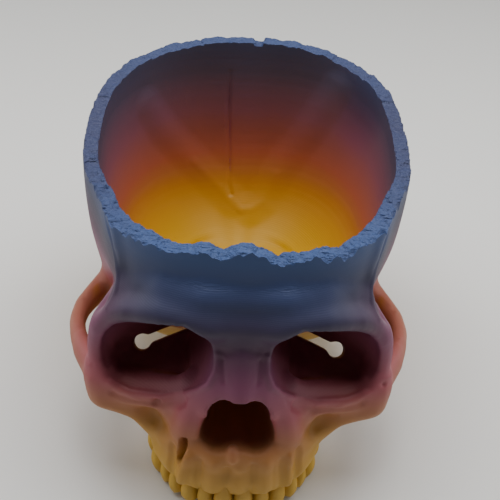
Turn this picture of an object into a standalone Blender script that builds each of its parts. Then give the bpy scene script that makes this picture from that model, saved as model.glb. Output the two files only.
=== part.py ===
"""A decorative skull bowl: a life-size skull without its lower jaw, open at the crown.

The skull is modelled the way a sculptor blocks it out. One clay body is built up from lofted sections and
strands, its eye sockets and nose are cut out, and it is smoothed. The body is then sawn along the natural
seams of a skull into braincase, upper jaws, cheekbones and nasal bones. The teeth stand in their sockets.
The face looks along -Y and the skull stands on its back teeth and on the flat under its occiput.
"""

import math
import random

import bmesh
import bpy
from mathutils import Matrix, Vector

MM = 0.001

# Overall sizes. Places on the skull are shares of these three: across, along and up.
SKULL_WIDTH = 137.0 * MM
SKULL_LENGTH = 181.0 * MM
SKULL_HEIGHT = 121.0 * MM

# Sizes that stand by themselves.
BOWL_WALL = 6.0 * MM
BONE_RADIUS = 6.0 * MM
SEAM_GAP = 0.3 * MM
SOCKET_GAP = 0.3 * MM
RIM_ROUGHNESS = 2.2 * MM
CLAY_VOXEL = 1.9 * MM
CUT_OVERRUN = 12.0 * MM
TOOTH_HEIGHT = 21.0 * MM
TOOTH_DEPTH = 8.6 * MM

HALF_WIDTH = SKULL_WIDTH / 2
HALF_LENGTH = SKULL_LENGTH / 2

# How finely round shapes are drawn.
HEAD_STEPS = 44
RIM_STEPS = 120
TOOTH_STEPS = 8
BEAD_ROUNDING_STEPS = 2
BLOCK_SMOOTHING_STEPS = 5
SKIN_SMOOTHING_STEPS = 2
BLOCK_KEPT_SHARE = 0.25
CLAY_KEPT_SHARE = 0.078

# Horizontal sections of the braincase, bottom to top: height, front, back and half width, and how
# square the front is.
HEAD_SHARES = (
    (0.000, 0.30, 0.60, 0.20, 2.7),
    (0.035, 0.16, 0.73, 0.39, 2.7),
    (0.080, 0.05, 0.82, 0.54, 2.7),
    (0.150, -0.04, 0.89, 0.68, 2.7),
    (0.250, -0.14, 0.945, 0.78, 2.7),
    (0.370, -0.33, 0.98, 0.845, 2.6),
    (0.500, -0.47, 0.995, 0.885, 2.5),
    (0.620, -0.66, 1.0, 0.915, 2.45),
    (0.700, -0.81, 1.0, 0.93, 2.45),
    (0.790, -0.855, 1.0, 0.945, 2.45),
    (0.910, -0.85, 0.998, 0.952, 2.6),
    (1.080, -0.835, 0.98, 0.945, 2.75),
)
# Horizontal sections of the hollow, in the same order. The wall is taken off the upper ones.
HOLLOW_SHARES = (
    (0.190, 0.22, 0.60, 0.22, 2.7),
    (0.215, 0.10, 0.69, 0.40, 2.7),
    (0.265, -0.03, 0.78, 0.55, 2.7),
    (0.335, -0.12, 0.86, 0.67, 2.7),
    (0.420, -0.18, 0.91, 0.755, 2.7),
    (0.540, -0.235, 0.935, 0.80, 2.7),
    (0.670, -0.30, 0.935, 0.835, 2.6),
    (0.760, -0.58, 0.934, 0.85, 2.4),
    (0.815, -0.73, 0.934, 0.858, 2.35),
    (0.910, -0.78, 0.932, 0.866, 2.6),
    (1.300, -0.77, 0.915, 0.858, 2.7),
)
WIDEST_SHARE = 0.20
RIGHT_BACK_SQUARENESS = 2.4
LEFT_BACK_SQUARENESS = 2.65
TEMPLE_PINCH_SHARE = 0.085
TEMPLE_PLACE_SHARE = -0.46
TEMPLE_SPREAD_SHARE = 0.22
CREST_WIDTH_SHARE = 0.20
CREST_DEPTH_SHARE = 0.045


def spot(across, along, up):
    """A point from its shares of the half width, the half length and the height."""
    return Vector((across * HALF_WIDTH, along * HALF_LENGTH, up * SKULL_HEIGHT))


def flipped(rows):
    """The same rows on the other side of the middle plane."""
    return tuple((-row[0],) + tuple(row[1:]) for row in rows)


def clear_scene():
    for old in list(bpy.data.objects):
        bpy.data.objects.remove(old)


def add_object(name, mesh):
    obj = bpy.data.objects.new(name, mesh)
    bpy.context.scene.collection.objects.link(obj)
    return obj


def mesh_from(shape, name):
    """Ends a bmesh: makes its faces point out and writes it to a mesh."""
    bmesh.ops.recalc_face_normals(shape, faces=shape.faces[:])
    mesh = bpy.data.meshes.new(name)
    shape.to_mesh(mesh)
    shape.free()
    return mesh


def add_cutter(name, mesh):
    cutter = add_object(name, mesh)
    cutter.hide_render = True
    cutter.display_type = "WIRE"
    return cutter


def baked(obj, name):
    """The object's mesh with its modifiers applied. The object itself is removed."""
    bpy.context.view_layer.update()
    graph = bpy.context.evaluated_depsgraph_get()
    mesh = bpy.data.meshes.new_from_object(obj.evaluated_get(graph))
    mesh.name = name
    bpy.data.objects.remove(obj)
    return mesh


def boolean(obj, cutter, operation):
    step = obj.modifiers.new(cutter.name, "BOOLEAN")
    step.object = cutter
    step.operation = operation
    step.solver = "EXACT"


def loft(shape, rings):
    """Skins a row of closed rings with quads and closes both ends."""
    laid = [[shape.verts.new(point) for point in ring] for ring in rings]
    count = len(laid[0])
    for lower, upper in zip(laid, laid[1:]):
        for k in range(count):
            after = (k + 1) % count
            shape.faces.new((lower[k], lower[after], upper[after], upper[k]))
    shape.faces.new(laid[0])
    shape.faces.new(laid[-1])


# The braincase and its hollow

def rounded(angle, squareness):
    """A point on a unit superellipse. Angle 0 is the front, and a quarter turn is the widest place."""
    power = 2 / squareness
    sine, cosine = math.sin(angle), math.cos(angle)
    return (
        math.copysign(abs(sine) ** power, sine),
        -math.copysign(abs(cosine) ** power, cosine),
    )


def head_ring(row, steps, crest_share=0.0):
    """One horizontal section: squarer in front, rounder behind, and drawn in at the temples."""
    up, front, back, half, squareness = row
    middle = WIDEST_SHARE if front < WIDEST_SHARE - 0.1 else (front + back) / 2
    ring = []
    for k in range(steps):
        angle = 2 * math.pi * k / steps
        ahead = math.cos(angle) > 0
        behind = LEFT_BACK_SQUARENESS if math.sin(angle) > 0 else RIGHT_BACK_SQUARENESS
        across, along = rounded(angle, squareness if ahead else behind)
        y = middle + along * ((middle - front) if ahead else (back - middle))
        near_temple = (y - TEMPLE_PLACE_SHARE) / TEMPLE_SPREAD_SHARE
        pinch = TEMPLE_PINCH_SHARE * math.exp(-near_temple**2) * min(1.0, abs(across) ** 4)
        if not ahead:
            y -= crest_share * math.exp(-((across / CREST_WIDTH_SHARE) ** 2))
        ring.append(spot(across * (half - pinch), y, up))
    return ring


def add_head(shape):
    loft(shape, [head_ring(row, HEAD_STEPS) for row in HEAD_SHARES])


def make_hollow():
    """The cutter of the bowl's inside. Its back has a low upright ridge between two pockets."""
    shape = bmesh.new()
    rings = []
    for row in HOLLOW_SHARES:
        crest = CREST_DEPTH_SHARE * max(0.0, 1.0 - row[0])
        ring = head_ring(row, HEAD_STEPS, crest)
        rings.append(ring)
    loft(shape, rings)
    hollow = mesh_from(shape, "hollow")
    return add_cutter("hollow", hollow)


# The broken rim

RIM_SIDE_DIP_SHARE = 0.055
RIM_BACK_DIP_SHARE = 0.005
RIM_LEVEL_SHARE = 0.980
FRONT_SCALLOPS = 11
SCALLOP_START = 0.8
SCALLOP_HEIGHT_SHARE = 0.6
SIDE_ROUGHNESS_SHARE = 0.25
FRONT_ROUGHNESS_SHARE = 0.45
RIM_REACH_SHARES = (0.45, 0.90, 1.03, 1.25)


def rim_level(angle, dice):
    """The height of the fracture at an angle round the head, with its scallops and its roughness."""
    front = max(0.0, math.cos(angle))
    level = RIM_LEVEL_SHARE * SKULL_HEIGHT
    level -= RIM_SIDE_DIP_SHARE * SKULL_HEIGHT * math.sin(angle) ** 2
    level -= RIM_BACK_DIP_SHARE * SKULL_HEIGHT * max(0.0, -math.cos(angle))
    scallops = math.sin(FRONT_SCALLOPS * angle + SCALLOP_START)
    level += RIM_ROUGHNESS * front**2 * scallops * SCALLOP_HEIGHT_SHARE
    roughness = SIDE_ROUGHNESS_SHARE + FRONT_ROUGHNESS_SHARE * front
    return level + RIM_ROUGHNESS * roughness * dice.uniform(-1, 1)


def make_rim_cutter():
    """A ring with a rough under side, which breaks the wall off at an uneven height."""
    dice = random.Random(7)
    shape = bmesh.new()
    outline = head_ring(HEAD_SHARES[-2], RIM_STEPS)
    centre = spot(0, WIDEST_SHARE, 0)
    rows = [[] for _ in RIM_REACH_SHARES]
    tops = [[] for _ in RIM_REACH_SHARES]
    for k, point in enumerate(outline):
        angle = 2 * math.pi * k / RIM_STEPS
        inner, outer = rim_level(angle, dice), rim_level(angle, dice)
        levels = (inner, inner, outer, outer)
        for reach, level, row, top in zip(RIM_REACH_SHARES, levels, rows, tops):
            x, y = (
                centre.x + (point.x - centre.x) * reach,
                centre.y + (point.y - centre.y) * reach,
            )
            row.append(Vector((x, y, level)))
            top.append(Vector((x, y, SKULL_HEIGHT + CUT_OVERRUN)))
    loft(shape, rows + tops[::-1])
    return add_cutter("rim_break", mesh_from(shape, "rim_break"))


# The strands of the face and of the skull's underside: across, along, up and thickness, as shares.
# A strand is a string of beads, and its last number in the call stretches them along X, Y and Z.

BROW_SHARES = (
    (0.00, -0.865, 0.745, 1.10),
    (0.20, -0.88, 0.757, 1.08),
    (0.41, -0.85, 0.765, 1.00),
    (0.59, -0.785, 0.735, 0.85),
    (0.70, -0.725, 0.675, 0.70),
    (0.765, -0.69, 0.61, 0.78),
)
FOREHEAD_SHARES = (
    (0.00, -0.845, 0.80, 0.85),
    (0.20, -0.855, 0.81, 0.85),
    (0.40, -0.80, 0.81, 0.80),
    (0.53, -0.735, 0.795, 0.62),
    (0.60, -0.68, 0.775, 0.45),
)
OUTER_RIM_SHARES = (
    (0.765, -0.69, 0.61, 0.78),
    (0.785, -0.665, 0.53, 0.80),
    (0.765, -0.66, 0.45, 0.95),
)
LOWER_RIM_SHARES = (
    (0.745, -0.68, 0.41, 1.05),
    (0.62, -0.73, 0.38, 1.00),
    (0.46, -0.765, 0.383, 0.95),
    (0.32, -0.80, 0.415, 0.85),
    (0.205, -0.84, 0.47, 0.78),
    (0.165, -0.855, 0.55, 0.80),
    (0.15, -0.85, 0.64, 0.85),
    (0.16, -0.865, 0.70, 0.90),
)
CHEEK_SHARES = (
    (0.755, -0.665, 0.40, 1.45),
    (0.748, -0.68, 0.335, 1.30),
    (0.66, -0.69, 0.315, 1.15),
    (0.55, -0.70, 0.285, 1.00),
    (0.45, -0.69, 0.205, 1.05),
)
ARCH_SHARES = (
    (0.79, -0.645, 0.385, 0.95),
    (0.89, -0.53, 0.395, 0.72),
    (0.938, -0.42, 0.397, 0.62),
    (0.955, -0.33, 0.396, 0.60),
    (0.94, -0.23, 0.394, 0.66),
    (0.88, -0.12, 0.392, 0.72),
    (0.80, 0.00, 0.39, 0.85),
)
ARCH_ROOT_SHARES = (
    (0.80, -0.06, 0.375, 0.80),
    (0.75, 0.02, 0.365, 1.05),
    (0.71, 0.14, 0.35, 1.10),
)
NOSE_BRIDGE_SHARES = (
    (0.00, -0.865, 0.69, 1.15),
    (0.00, -0.905, 0.615, 0.95),
    (0.00, -0.945, 0.55, 0.85),
    (0.00, -0.965, 0.50, 0.80),
)
NOSE_ROOF_SHARES = (
    (0.09, -0.86, 0.66, 0.85),
    (0.10, -0.90, 0.58, 0.80),
    (0.115, -0.925, 0.515, 0.75),
    (0.17, -0.92, 0.45, 0.70),
)
NOSE_SIDE_SHARES = (
    (0.125, -0.87, 0.60, 0.90),
    (0.175, -0.885, 0.50, 0.88),
    (0.245, -0.875, 0.40, 0.95),
    (0.275, -0.86, 0.31, 1.15),
)
NOSE_CORE_SHARES = (
    (0.00, -0.80, 0.66, 1.70),
    (0.00, -0.66, 0.64, 1.75),
    (0.00, -0.50, 0.58, 1.95),
    (0.00, -0.50, 0.45, 1.95),
    (0.00, -0.68, 0.42, 2.00),
)
JAW_BODY_SHARES = (
    (0.30, -0.76, 0.32, 1.60),
    (0.36, -0.66, 0.35, 1.85),
    (0.34, -0.55, 0.36, 1.85),
    (0.28, -0.50, 0.38, 1.60),
)
JAW_ARCH_SHARES = (
    (0.00, -0.905, 0.245, 1.35),
    (0.13, -0.90, 0.245, 1.35),
    (0.25, -0.86, 0.24, 1.30),
    (0.335, -0.79, 0.225, 1.25),
    (0.39, -0.70, 0.205, 1.20),
    (0.42, -0.60, 0.19, 1.15),
    (0.435, -0.51, 0.19, 1.10),
)
TOOTH_BEDS_SHARES = (
    (0.00, -0.925, 0.154, 1.00),
    (0.13, -0.92, 0.154, 1.00),
    (0.25, -0.88, 0.154, 1.00),
    (0.335, -0.81, 0.152, 1.05),
    (0.39, -0.72, 0.145, 1.10),
    (0.42, -0.61, 0.140, 1.10),
    (0.435, -0.51, 0.140, 1.05),
)
PALATE_SHARES = (
    (0.00, -0.84, 0.27, 1.25),
    (0.00, -0.70, 0.28, 1.00),
    (0.00, -0.56, 0.27, 0.85),
)
EYE_WALL_SHARES = (
    (0.785, -0.67, 0.57, 0.60),
    (0.75, -0.60, 0.56, 0.68),
    (0.69, -0.53, 0.565, 0.82),
    (0.60, -0.455, 0.575, 1.00),
    (0.46, -0.40, 0.56, 1.20),
)
EYE_FLOOR_SHARES = (
    (0.60, -0.70, 0.385, 0.85),
    (0.64, -0.62, 0.415, 1.00),
    (0.55, -0.53, 0.425, 0.95),
    (0.38, -0.44, 0.450, 0.85),
)
EYE_INNER_WALL_SHARES = (
    (0.150, -0.82, 0.535, 0.90),
    (0.160, -0.72, 0.505, 1.15),
    (0.165, -0.60, 0.490, 1.20),
    (0.165, -0.50, 0.490, 1.10),
)
EYE_ROOF_SHARES = (
    (0.60, -0.68, 0.755, 1.05),
    (0.55, -0.55, 0.74, 1.20),
    (0.48, -0.44, 0.68, 1.60),
)
EYE_CORNER_SHARES = (
    (0.675, -0.665, 0.690, 0.70),
    (0.63, -0.58, 0.680, 0.85),
    (0.56, -0.48, 0.68, 1.10),
)
TEMPLE_LINE_SHARES = (
    (0.685, -0.69, 0.715, 0.50),
    (0.65, -0.665, 0.77, 0.45),
    (0.65, -0.655, 0.84, 0.40),
    (0.68, -0.64, 0.93, 0.38),
    (0.735, -0.59, 1.04, 0.38),
)
MASTOID_SHARES = (
    (0.745, 0.13, 0.32, 1.40),
    (0.74, 0.09, 0.23, 1.30),
    (0.72, 0.05, 0.165, 0.85),
)
EAR_RIDGE_SHARES = (
    (0.66, 0.05, 0.25, 1.25),
    (0.40, -0.04, 0.25, 1.00),
    (0.18, -0.13, 0.265, 0.85),
)
BASE_BAR_SHARES = (
    (0.00, -0.05, 0.22, 1.20),
    (0.00, -0.20, 0.30, 1.45),
    (0.00, -0.34, 0.41, 1.80),
    (0.00, -0.46, 0.50, 1.90),
)
CONDYLE_SHARES = (
    (0.14, -0.02, 0.155, 0.70),
    (0.19, 0.07, 0.145, 0.80),
    (0.22, 0.16, 0.15, 0.65),
)
WING_PLATE_SHARES = (
    (0.24, -0.44, 0.37, 0.80),
    (0.25, -0.43, 0.26, 0.60),
    (0.26, -0.42, 0.16, 0.50),
)
NAPE_SHARES = (
    (0.00, 0.93, 0.38, 0.85),
    (0.10, 0.90, 0.37, 0.60),
)
NOSE_SPINE_SHARES = (
    (0.00, -0.92, 0.295, 0.62),
    (0.00, -0.965, 0.300, 0.36),
)

ROUND = (1.0, 1.0, 1.0)
ARCH_STRETCH = (1.0, 1.0, 1.45)
PLATE_STRETCH = (0.55, 1.5, 1.0)
FOREHEAD_STRETCH = (1.3, 1.0, 1.6)
WALL_STRETCH = (1.0, 1.0, 3.0)
FLOOR_STRETCH = (2.3, 1.2, 0.8)
INNER_WALL_STRETCH = (1.2, 1.2, 2.4)
BED_STRETCH = (1.0, 1.0, 1.5)
BRIDGE_STRETCH = (1.15, 1.0, 1.0)

MIDDLE_STRANDS = (
    (NOSE_BRIDGE_SHARES, BRIDGE_STRETCH),
    (NOSE_CORE_SHARES, ROUND),
    (PALATE_SHARES, (2.6, 1.0, 1.0)),
    (BASE_BAR_SHARES, (1.2, 1.0, 1.0)),
    (NAPE_SHARES, ROUND),
    (NOSE_SPINE_SHARES, ROUND),
)
SIDE_STRANDS = (
    (BROW_SHARES, ROUND),
    (FOREHEAD_SHARES, FOREHEAD_STRETCH),
    (OUTER_RIM_SHARES, ROUND),
    (LOWER_RIM_SHARES, ROUND),
    (CHEEK_SHARES, ROUND),
    (ARCH_SHARES, ARCH_STRETCH),
    (ARCH_ROOT_SHARES, ROUND),
    (NOSE_ROOF_SHARES, ROUND),
    (NOSE_SIDE_SHARES, ROUND),
    (JAW_BODY_SHARES, ROUND),
    (JAW_ARCH_SHARES, ROUND),
    (TOOTH_BEDS_SHARES, BED_STRETCH),
    (EYE_WALL_SHARES, WALL_STRETCH),
    (EYE_FLOOR_SHARES, FLOOR_STRETCH),
    (EYE_INNER_WALL_SHARES, INNER_WALL_STRETCH),
    (EYE_ROOF_SHARES, ROUND),
    (EYE_CORNER_SHARES, ROUND),
    (TEMPLE_LINE_SHARES, ROUND),
    (MASTOID_SHARES, ROUND),
    (EAR_RIDGE_SHARES, ROUND),
    (CONDYLE_SHARES, ROUND),
    (WING_PLATE_SHARES, PLATE_STRETCH),
)
BEAD_SPACING_SHARE = 0.45


def add_strand(shape, rows, stretch):
    """Lays beads along the rows' places, close enough together to read as one limb."""
    strand = bmesh.new()
    for start, end in zip(rows, rows[1:]):
        first, last = spot(*start[:3]), spot(*end[:3])
        thin = min(start[3], end[3]) * BONE_RADIUS * BEAD_SPACING_SHARE
        count = max(1, math.ceil((last - first).length / thin))
        for k in range(count + 1):
            share = k / count
            radius = BONE_RADIUS * (start[3] + (end[3] - start[3]) * share)
            place = Matrix.Translation(first.lerp(last, share))
            size = Matrix.Diagonal([radius * part for part in stretch] + [1])
            bmesh.ops.create_icosphere(
                strand, subdivisions=BEAD_ROUNDING_STEPS, radius=1, matrix=place @ size
            )
    shape.from_mesh(mesh_from(strand, "strand"))


# The eye sockets, the slots in their floors and the nose

EYE_SHARES = (
    (0.500, -1.04, 0.586, 0.340, 0.175),
    (0.462, -0.80, 0.577, 0.312, 0.158),
    (0.452, -0.68, 0.569, 0.300, 0.143),
    (0.402, -0.56, 0.560, 0.232, 0.114),
    (0.325, -0.45, 0.555, 0.135, 0.068),
    (0.275, -0.39, 0.550, 0.055, 0.030),
)
EYE_SQUARENESS = 2.6
EYE_INNER_CORNER_SQUARENESS = 2.05
EYE_DROOP_SHARE = 0.40
EYE_STEPS = 22
SLOT_PLACE_SHARES = (0.555, -0.54, 0.45)
SLOT_BULB_RADIUS = 3.3 * MM
SLOT_HALF_WIDTH = 1.7 * MM
SLOT_LENGTH = 20.0 * MM
SLOT_RISE = math.radians(23)
SLOT_FALL = math.radians(36)
SLOT_REACH_SHARES = (-0.55, 1.30)
SLOT_STEPS = 9
NOSE_HALF_WIDTH_SHARE = 0.205
NOSE_OUTLINE_SHARES = (
    (0.00, 0.528),
    (0.30, 0.524),
    (0.56, 0.505),
    (0.74, 0.460),
    (0.80, 0.410),
    (1.00, 0.350),
    (0.95, 0.310),
    (0.55, 0.290),
    (0.12, 0.298),
)
NOSE_REACH_SHARES = ((-1.15, 1.0), (-0.90, 0.98), (-0.74, 0.74), (-0.50, 0.60), (-0.30, 0.60))


def make_eye_cutter(side, name):
    """A rounded cone from in front of the face to the back of the eye socket."""
    shape = bmesh.new()
    rings = []
    for across, along, up, half, high in EYE_SHARES:
        ring = []
        for k in range(EYE_STEPS):
            angle = 2 * math.pi * k / EYE_STEPS
            by_nose_and_brow = math.sin(angle) < 0 < math.cos(angle)
            square = EYE_INNER_CORNER_SQUARENESS if by_nose_and_brow else EYE_SQUARENESS
            flat, tall = rounded(angle, square)
            droop = -EYE_DROOP_SHARE * flat * high
            ring.append(spot(side * (across + flat * half), along, up - tall * high + droop))
        rings.append(ring)
    loft(shape, rings)
    return add_cutter(name, mesh_from(shape, name))


def slot_outline():
    """A keyhole: most of a circle at the outer end, and a narrow slot with a rounded inner end."""
    opening = math.asin(SLOT_HALF_WIDTH / SLOT_BULB_RADIUS)
    points = []
    for k in range(SLOT_STEPS):
        angle = opening + (2 * math.pi - 2 * opening) * k / (SLOT_STEPS - 1)
        points.append((SLOT_BULB_RADIUS * math.cos(angle), SLOT_BULB_RADIUS * math.sin(angle)))
    for angle in (-math.pi / 2, 0, math.pi / 2):
        tip = SLOT_LENGTH + SLOT_HALF_WIDTH * math.cos(angle)
        points.append((tip, SLOT_HALF_WIDTH * math.sin(angle)))
    return points


def slot_directions(side):
    """Through the socket's floor, along the slot toward the nose, and across the slot."""
    through = Vector((0, math.cos(SLOT_FALL), -math.sin(SLOT_FALL)))
    above = Vector((0, math.sin(SLOT_FALL), math.cos(SLOT_FALL)))
    inward = Vector((-side, 0, 0))
    along = inward * math.cos(SLOT_RISE) + above * math.sin(SLOT_RISE)
    across = above * math.cos(SLOT_RISE) - inward * math.sin(SLOT_RISE)
    return through, along, across


def make_slot_cutter(side, name):
    """The slot through the socket's floor. It runs up toward the nose and is cut down and back."""
    through, along, across = slot_directions(side)
    place = spot(SLOT_PLACE_SHARES[0] * side, *SLOT_PLACE_SHARES[1:])
    shape = bmesh.new()
    rings = []
    for reach in SLOT_REACH_SHARES:
        start = place + through * reach * SLOT_LENGTH
        rings.append([start + along * u + across * v for u, v in slot_outline()])
    loft(shape, rings)
    return add_cutter(name, mesh_from(shape, name))


def make_nose_cutter():
    """The pear-shaped nasal opening and the passage behind it."""
    half = list(NOSE_OUTLINE_SHARES)
    outline = half + [(-x, z) for x, z in half[:0:-1]]
    sill = min(z for _, z in half)
    shape = bmesh.new()
    rings = []
    for along, size in NOSE_REACH_SHARES:
        rings.append(
            [
                spot(x * NOSE_HALF_WIDTH_SHARE * size, along, sill + (z - sill) * size)
                for x, z in outline
            ]
        )
    loft(shape, rings)
    return add_cutter("nose_passage", mesh_from(shape, "nose_passage"))


NERVE_OPENING_SHARES = (0.00, 0.11, 0.08, 0.21, 0.19, 0.07)


def make_nerve_opening_cutter():
    """The round hollow under the skull where the spine would enter. It stays shut toward the bowl."""
    across, along, up, half_width, half_length, half_height = NERVE_OPENING_SHARES
    size = (half_width * HALF_WIDTH, half_length * HALF_LENGTH, half_height * SKULL_HEIGHT, 1)
    shape = bmesh.new()
    place = Matrix.Translation(spot(across, along, up)) @ Matrix.Diagonal(size)
    bmesh.ops.create_icosphere(shape, subdivisions=3, radius=1, matrix=place)
    return add_cutter("nerve_opening", mesh_from(shape, "nerve_opening"))


def remeshed(obj, rounds, name):
    """Fuses a pile of shapes into one skin and rounds it, as a thumb rounds clay."""
    skin = obj.modifiers.new("skin", "REMESH")
    skin.mode = "VOXEL"
    skin.voxel_size = CLAY_VOXEL
    thumb = obj.modifiers.new("thumb", "SMOOTH")
    thumb.factor = 0.5
    thumb.iterations = rounds
    return baked(obj, name)


def make_block():
    """Head and strands fused into one body."""
    shape = bmesh.new()
    add_head(shape)
    for rows, stretch in MIDDLE_STRANDS:
        add_strand(shape, rows, stretch)
    for rows, stretch in SIDE_STRANDS:
        add_strand(shape, rows, stretch)
        add_strand(shape, flipped(rows), stretch)
    return remeshed(add_object("lump", mesh_from(shape, "lump")), BLOCK_SMOOTHING_STEPS, "block")


def thinned(mesh, kept_share, name):
    """The same skin with fewer faces."""
    obj = add_object(name, mesh)
    fewer = obj.modifiers.new("fewer", "DECIMATE")
    fewer.ratio = kept_share
    return baked(obj, name)


def carved(mesh, cutters, name):
    """The mesh with each cutter taken out of it."""
    obj = add_object(name, mesh)
    for cutter in cutters:
        boolean(obj, cutter, "DIFFERENCE")
    return baked(obj, name)


def make_clay():
    """The whole skull as one body, with its sockets, nose, hollow and broken rim."""
    face_cuts = [
        make_eye_cutter(1, "left_eye_cut"),
        make_eye_cutter(-1, "right_eye_cut"),
        make_nose_cutter(),
    ]
    rough = carved(thinned(make_block(), BLOCK_KEPT_SHARE, "block"), face_cuts, "rough")
    skin = remeshed(add_object("rough", rough), SKIN_SMOOTHING_STEPS, "skin")
    skin = thinned(skin, CLAY_KEPT_SHARE, "skin")
    sharp_cuts = [
        make_slot_cutter(1, "left_slot_cut"),
        make_slot_cutter(-1, "right_slot_cut"),
        make_nerve_opening_cutter(),
        make_hollow(),
        make_rim_cutter(),
    ]
    return carved(skin, sharp_cuts, "clay")


# Sawing the clay along the seams of a skull

def make_region(name, planes, growth):
    """A block bounded by planes, each pushed out by the growth. Its name tells what it holds."""
    shape = bmesh.new()
    size = 4 * SKULL_LENGTH
    bmesh.ops.create_cube(shape, size=size)
    for place, outward in planes:
        normal = Vector(outward).normalized()
        point = spot(*place) + normal * growth
        everything = shape.verts[:] + shape.edges[:] + shape.faces[:]
        cut = bmesh.ops.bisect_plane(
            shape, geom=everything, plane_co=point, plane_no=normal, clear_outer=True
        )
        edges = [part for part in cut["geom_cut"] if isinstance(part, bmesh.types.BMEdge)]
        bmesh.ops.edgenet_fill(shape, edges=edges)
    return add_cutter(name, mesh_from(shape, name))


def largest_piece(mesh):
    """Drops the crumbs that a saw cut leaves."""
    shape = bmesh.new()
    shape.from_mesh(mesh)
    unseen = set(shape.faces)
    pieces = []
    while unseen:
        first = min(unseen, key=lambda face: face.index)
        piece, border = {first}, [first]
        while border:
            seams = {edge for face in border for edge in face.edges if edge.is_manifold}
            near = {face for edge in seams for face in edge.link_faces} - piece
            piece |= near
            border = list(near)
        unseen -= piece
        pieces.append(piece)
    pieces.sort(key=len)
    crumbs = [face for piece in pieces[:-1] for face in piece]
    bmesh.ops.delete(shape, geom=crumbs, context="FACES")
    bmesh.ops.triangulate(shape, faces=shape.faces[:])
    shape.to_mesh(mesh)
    shape.free()
    return mesh


def sawn(mesh, region, operation, name):
    """One side of a saw cut through the mesh."""
    obj = add_object(name, mesh.copy())
    boolean(obj, region, operation)
    return largest_piece(baked(obj, name))


def mirrored_planes(planes):
    return tuple(((-a, b, c), (-x, y, z)) for (a, b, c), (x, y, z) in planes)


# Each plane is a place on it, in shares, and the direction away from the piece.
LEFT_CHEEK_PLANES = (
    ((0.48, -0.82, 0.405), (-0.84, 0.44, -0.30)),
    ((0.76, -0.73, 0.595), (0.0, 0.50, 0.86)),
    ((0.95, -0.22, 0.40), (0.0, 0.95, 0.30)),
)
NOSE_PLANES = (
    ((0.075, -0.90, 0.60), (0.93, 0.25, 0.25)),
    ((-0.075, -0.90, 0.60), (-0.93, 0.25, 0.25)),
    ((0.00, -0.905, 0.66), (0.0, -0.35, 1.0)),
    ((0.00, -0.845, 0.60), (0.0, 0.95, 0.40)),
    ((0.00, -0.90, 0.50), (0.0, 0.0, -1.0)),
)
# The jaw's seam runs along the slot in each socket's floor, as it does in a skull.
LEFT_SLOT_PLANE = (SLOT_PLACE_SHARES, slot_directions(1)[2])
JAW_PLANES = (
    ((0.00, -0.465, 0.30), (0.0, 1.0, 0.0)),
    ((0.00, -0.880, 0.655), (0.0, -0.3, 1.0)),
    LEFT_SLOT_PLANE,
) + mirrored_planes((LEFT_SLOT_PLANE,))


def saw_off(rest, planes, name):
    """Cuts one piece off. The gap of the seam is left between it and the rest."""
    keep = make_region(name + "_region", planes, -SEAM_GAP / 2)
    waste = make_region(name + "_saw", planes, SEAM_GAP / 2)
    return sawn(rest, keep, "INTERSECT", name), sawn(rest, waste, "DIFFERENCE", "rest")


def saw_pieces(clay):
    """Cuts cheekbones, nasal bones and upper jaws off the clay. What is left is the braincase."""
    pieces = {}
    rest = clay
    for side, planes in (
        ("left", LEFT_CHEEK_PLANES),
        ("right", mirrored_planes(LEFT_CHEEK_PLANES)),
    ):
        name = side + "_cheekbone"
        pieces[name], rest = saw_off(rest, planes, name)
    for family, planes in (("nasal_bone", NOSE_PLANES), ("upper_jaw", JAW_PLANES)):
        pair, rest = saw_off(rest, planes, family + "_pair")
        for side, sign in (("left", 1), ("right", -1)):
            name = side + "_" + family
            half = make_region(name + "_half", (((0, 0, 0), (-sign, 0, 0)),), -SEAM_GAP / 2)
            pieces[name] = sawn(pair, half, "INTERSECT", name)
    pieces["braincase"] = rest
    return pieces


# Teeth

# Kind, width along the row, depth across it, number of cusps, and the width and depth of the tip.
# The depth and the tip are shares.
TOOTH_KINDS = (
    ("central_incisor", 7.6 * MM, 0.80, 0, 0.92, 0.26),
    ("lateral_incisor", 5.9 * MM, 0.76, 0, 0.86, 0.28),
    ("canine", 6.8 * MM, 0.92, 0, 0.24, 0.26),
    ("first_premolar", 6.3 * MM, 1.02, 2, 0.56, 0.66),
    ("second_premolar", 6.1 * MM, 1.02, 2, 0.60, 0.70),
    ("first_molar", 9.2 * MM, 1.25, 4, 0.74, 0.72),
    ("second_molar", 8.7 * MM, 1.22, 4, 0.72, 0.70),
    ("third_molar", 7.4 * MM, 1.10, 4, 0.66, 0.66),
)
TOOTH_GAP = 0.35 * MM
TOOTH_ROW_WIDTH_SHARE = 0.455
TOOTH_ROW_FRONT_SHARE = -0.945
TOOTH_ROW_BACK_SHARE = -0.40
TOOTH_ROW_SQUARENESS = 2.3
TOOTH_ROW_STEPS = 400
TOOTH_TIP_SHARES = (0.030, 0.026, 0.016, 0.010, 0.006, 0.0, 0.008, 0.022)
TOOTH_SQUARENESS = 2.6
CUSP_SHARE = 0.13
# Up the tooth from its tip: height, width and depth, as shares of the tooth's own sizes.
TOOTH_RING_SHARES = (
    (0.08, 0.92, 0.84),
    (0.22, 1.00, 1.00),
    (0.42, 0.84, 0.94),
    (0.50, 0.72, 0.84),
    (0.75, 0.54, 0.62),
    (1.00, 0.20, 0.22),
)


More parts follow.
